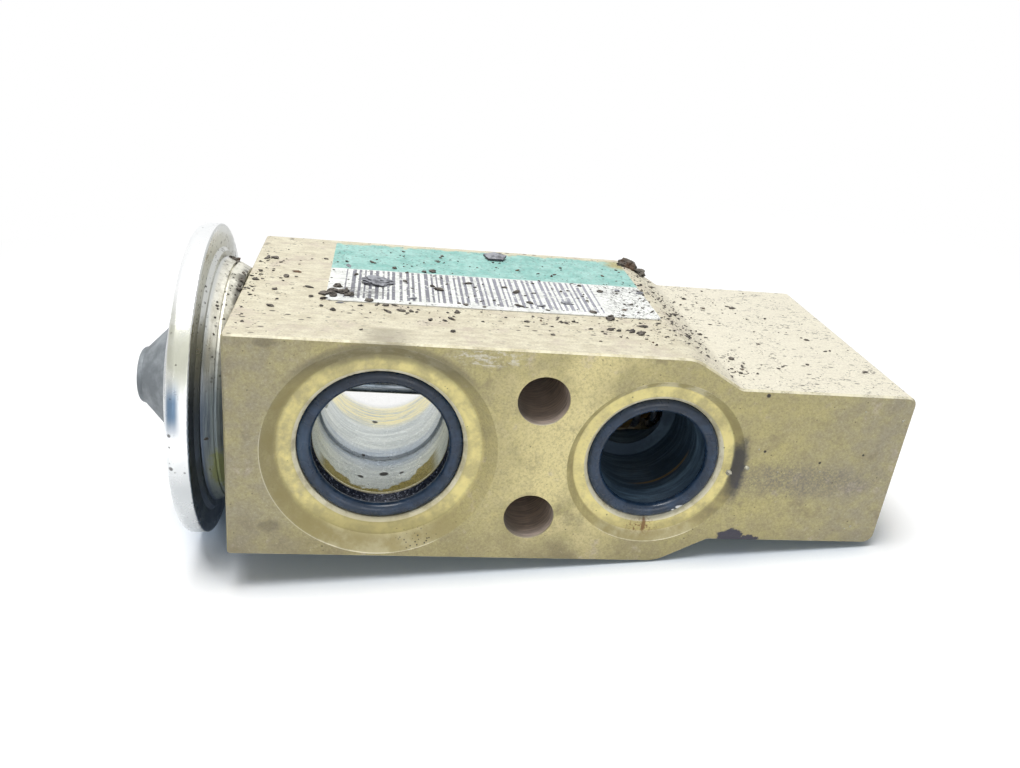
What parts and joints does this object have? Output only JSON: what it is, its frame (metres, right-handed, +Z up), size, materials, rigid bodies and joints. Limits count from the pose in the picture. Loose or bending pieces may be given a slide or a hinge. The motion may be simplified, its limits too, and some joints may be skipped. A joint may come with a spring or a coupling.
{
  "type": "thermostatic expansion valve",
  "caption": "Block-type expansion valve: a stepped aluminium block with suction and liquid ports, and a diaphragm power head that moves a rod and ball against a spring.",
  "frame": {"origin": "where the suction passage crosses the valve axis, at mid-depth of the block", "axes": "+X along the valve axis from the power head to the adjusting screw, +Z up towards the label, -Y out of the face with the O-ring ports"},
  "size_m": [0.1013, 0.0426, 0.0426],
  "materials": {
    "valve_body": "gold chromate finish, stained and oily",
    "label": "printed film, worn and dirty",
    "suction_oring": "satin, oily",
    "liquid_oring": "satin, oily",
    "head_cap": "bright drawn stainless",
    "head_base": "turned stainless, stained",
    "diaphragm": "rolled bright",
    "stop_plate": "turned",
    "charge_pin": "turned",
    "charge_cover": "cast resin, matte",
    "head_seal": "satin",
    "push_rod": "ground bright",
    "rod_seal": "satin",
    "seal_washer": "fluoropolymer, matte",
    "seal_clip": "stamped",
    "valve_ball": "polished",
    "ball_carrier": "turned",
    "damper_spring": "stamped spring steel",
    "superheat_spring": "drawn wire",
    "adjusting_screw": "turned",
    "screw_oring": "satin"
  },
  "bodies": {
    "valve": {"valve_body": "valve_body", "label": "label", "suction_oring": "suction_oring", "liquid_oring": "liquid_oring", "head_cap": "head_cap", "head_base": "head_base", "diaphragm": "diaphragm", "charge_pin": "charge_pin", "charge_cover": "charge_cover", "head_seal": "head_seal", "rod_seal": "rod_seal", "seal_washer": "seal_washer", "seal_clip": "seal_clip", "superheat_spring": "superheat_spring"},
    "train": {"push_rod": "push_rod", "stop_plate": "stop_plate", "valve_ball": "valve_ball", "ball_carrier": "ball_carrier", "damper_spring": "damper_spring"},
    "screw_ring": {"screw_oring": "screw_oring"},
    "screw": {"adjusting_screw": "adjusting_screw"}
  },
  "joints": [
    {"name": "valve_stroke", "type": "slide", "parent": "valve", "child": "train", "axis": [1, 0, 0], "range_m": [-0.0007, 0], "stiffness_N_per_m": 1500, "springref_m": 0.0003, "deforming": ["diaphragm", "superheat_spring"]},
    {"name": "screw_travel", "type": "slide", "parent": "valve", "child": "screw_ring", "axis": [1, 0, 0], "range_m": [-0.001, 0.001], "deforming": ["superheat_spring"]},
    {"name": "screw_turn", "type": "hinge", "parent": "screw_ring", "child": "screw", "pos_m": [0.0586, 0, 0], "axis": [1, 0, 0], "range_deg": [-360, 360]}
  ],
  "couplings": [
    {"joint": "screw_travel", "follows": "screw_turn", "m_per_rad": 0.00015915}
  ]
}
